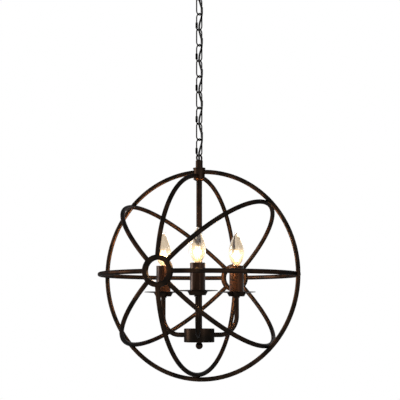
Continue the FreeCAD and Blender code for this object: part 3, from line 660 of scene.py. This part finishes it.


# Bulb glass: a clear blown flame with a wall under a millimetre. An amber glow is painted on the
# glass round the filaments, standing in for the halo of their light, and the tip stays clear.

GLOW_HEIGHT = 0.0235          # over the sleeve's rim, level with the middle of the filaments
PAINTED_GLOW_REACH = 0.022
PAINTED_GLOW_LIGHT = colour("#ffe0ac")
PAINTED_GLOW_STRENGTH = 0.3
GLASS_FACE = colour("#e6dac9")
GLASS_EDGE = colour("#c9b79c")

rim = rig.box("candle_sleeve_1")[1].z
glass, tree, place = start_material("clear bulb glass")
# Painted glow: amber emission on the glass itself, strongest level with the middle of the filaments and fading to
# nothing a reach above and below, painted as the halo of their light.
height = add(tree, "SeparateXYZ", {"Vector": place}, out="Z")
rise = add(tree, "Math", {0: height, 1: rim + GLOW_HEIGHT}, operation="SUBTRACT")
away = add(tree, "Math", {0: rise}, operation="ABSOLUTE")
painted_glow = add(tree, "MapRange", {"Value": away, "From Min": 0.0, "From Max": PAINTED_GLOW_REACH,
                              "To Min": PAINTED_GLOW_STRENGTH, "To Max": 0.0},
           interpolation_type="SMOOTHSTEP")
edge = add(tree, "LayerWeight", {"Blend": 0.5}, out="Facing")
glass_with_painted_glow = add(tree, "BsdfPrincipled", {
    "Base Color": add(tree, "Mix", {0: edge, 6: GLASS_FACE, 7: GLASS_EDGE}, out=2,
                      data_type="RGBA"),
    "Roughness": 0.0, "IOR": 1.5, "Transmission Weight": 1.0,
    "Emission Color": PAINTED_GLOW_LIGHT, "Emission Strength": painted_glow})
add(tree, "OutputMaterial", {"Surface": glass_with_painted_glow})
dress(["bulb_glass_%d" % number for number in bulbs], glass)
for number in bulbs:
    keep_out_of_light(node_objects["bulb_glass_%d" % number])


# Light of the bulbs: a warm lamp stands in each flame and moves with it. The filaments are
# kept out of the light that they would give, so that it is counted once.

BULB_WATTS = 2.2
BULB_COLOUR = colour("#ffc183")[:3]
FLAME_RADIUS = 0.01

for number in bulbs:
    foot, _ = axis_of("bulb_glass_%d" % number)
    lamp = bpy.data.lights.new("bulb_light_%d" % number, "POINT")
    lamp.energy = BULB_WATTS
    lamp.color = BULB_COLOUR
    lamp.shadow_soft_size = FLAME_RADIUS
    holder = put(lamp.name, lamp)
    holder.location = (foot.x, foot.y, rim + GLOW_HEIGHT)
    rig.ride(holder, "bulb_%d_turn" % number)


# Camera: level with the lower half of the orb and turned up a little, 23 degrees round from
# the cage's axis, so that the front small ring stands to the left.

CAMERA_TURN = math.radians(23.0)
CAMERA_AWAY = 2.41            # metres from the orb's centre, measured level
CAMERA_BELOW = 0.092          # metres under the orb's centre
CAMERA_PITCH = 0.1087         # radians up from level
SENSOR_MM = 36.0
CLIP_NEAR, CLIP_FAR = 0.05, 50.0
PICTURE_WIDTH = 400
FOCAL_PIXELS = 1057.0
ORB_COLUMN = 199.2            # the column of the picture that the orb's centre stands in

low_corner, high_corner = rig.box("outer_ring")
orb = (low_corner + high_corner) / 2
toward = Vector((math.sin(CAMERA_TURN), -math.cos(CAMERA_TURN), 0))
camera = bpy.data.cameras.new("camera")
camera.sensor_width = SENSOR_MM
camera.lens = SENSOR_MM * FOCAL_PIXELS / PICTURE_WIDTH
camera.clip_start, camera.clip_end = CLIP_NEAR, CLIP_FAR
eye = put("camera", camera)
eye.location = orb + CAMERA_AWAY * toward - Vector((0, 0, CAMERA_BELOW))
yaw = CAMERA_TURN + math.atan((ORB_COLUMN - PICTURE_WIDTH / 2) / FOCAL_PIXELS)
eye.rotation_euler = (math.pi / 2 + CAMERA_PITCH, 0.0, yaw)
bpy.context.scene.camera = eye


# Room: a white world, a pale floor well under the fitting, as in a stair hall, and soft boxes
# beside and in front of the fitting, which draw the upright streaks on the tubes.

FLOOR_LEVEL = -3.6
FLOOR_HALF = 6.0
FLOOR_GLOW = 0.62
WORLD_LEVEL = 0.5
WHITE = colour("#ffffff")
FLOOR_WHITE = colour("#f4f3f1")

scene = bpy.context.scene
scene.view_settings.view_transform = "Standard"


def seen_ray(tree):
    """One for rays from the camera, from gloss and through glass, and nothing for the rest."""
    seen = add(tree, "Math", {0: add(tree, "LightPath", out="Is Camera Ray"),
                              1: add(tree, "LightPath", out="Is Glossy Ray")},
               operation="MAXIMUM")
    return add(tree, "Math", {0: seen, 1: add(tree, "LightPath", out="Is Transmission Ray")},
               operation="MAXIMUM")


world = bpy.data.worlds.new("white room")
world.use_nodes = True
world.node_tree.nodes.clear()
tree = world.node_tree
level = add(tree, "MapRange", {"Value": seen_ray(tree), "To Min": WORLD_LEVEL, "To Max": 1.0})
sky = add(tree, "Background", {"Color": WHITE, "Strength": level})
add(tree, "OutputWorld", {"Surface": sky})
scene.world = world

floor_mesh = bpy.data.meshes.new("floor")
floor_mesh.from_pydata([(x * FLOOR_HALF, y * FLOOR_HALF, FLOOR_LEVEL)
                        for x, y in ((-1, -1), (1, -1), (1, 1), (-1, 1))], [], [(0, 1, 2, 3)])
floor = put("floor", floor_mesh)
pale, tree, _ = start_material("pale floor")
matt = add(tree, "BsdfDiffuse", {"Color": FLOOR_WHITE})
bright = add(tree, "Emission", {"Color": WHITE, "Strength": FLOOR_GLOW})
both = add(tree, "AddShader", {0: matt, 1: bright})
shown = add(tree, "MixShader", {0: seen_ray(tree), 1: matt, 2: both})
add(tree, "OutputMaterial", {"Surface": shown})
floor_mesh.materials.append(pale)
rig.stage(floor)


def soft_box(name, degrees, away, rise, width, tall, watts):
    """A lamp turned to the orb, at an angle to the camera's right, in metres from the orb."""
    turn = CAMERA_TURN + math.radians(degrees)
    lamp = bpy.data.lights.new(name, "AREA")
    lamp.shape = "RECTANGLE"
    lamp.size, lamp.size_y = width, tall
    lamp.energy = watts
    holder = put(name, lamp)
    holder.location = orb + Vector((away * math.sin(turn), -away * math.cos(turn), rise))
    holder.rotation_euler = (orb - holder.location).to_track_quat("-Z", "Y").to_euler()


soft_box("left_strip", -95, away=2.0, rise=0.2, width=0.3, tall=1.7, watts=60.0)
soft_box("right_front_strip", 34, away=2.4, rise=0.3, width=0.5, tall=1.4, watts=9.0)
soft_box("back_box", 160, away=2.2, rise=0.8, width=1.2, tall=1.0, watts=14.0)

with open("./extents.json", "w") as file:
    json.dump({"cad": [list(corner) for corner in cad_box],
               "visual": [list(corner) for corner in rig.bounds()]}, file)
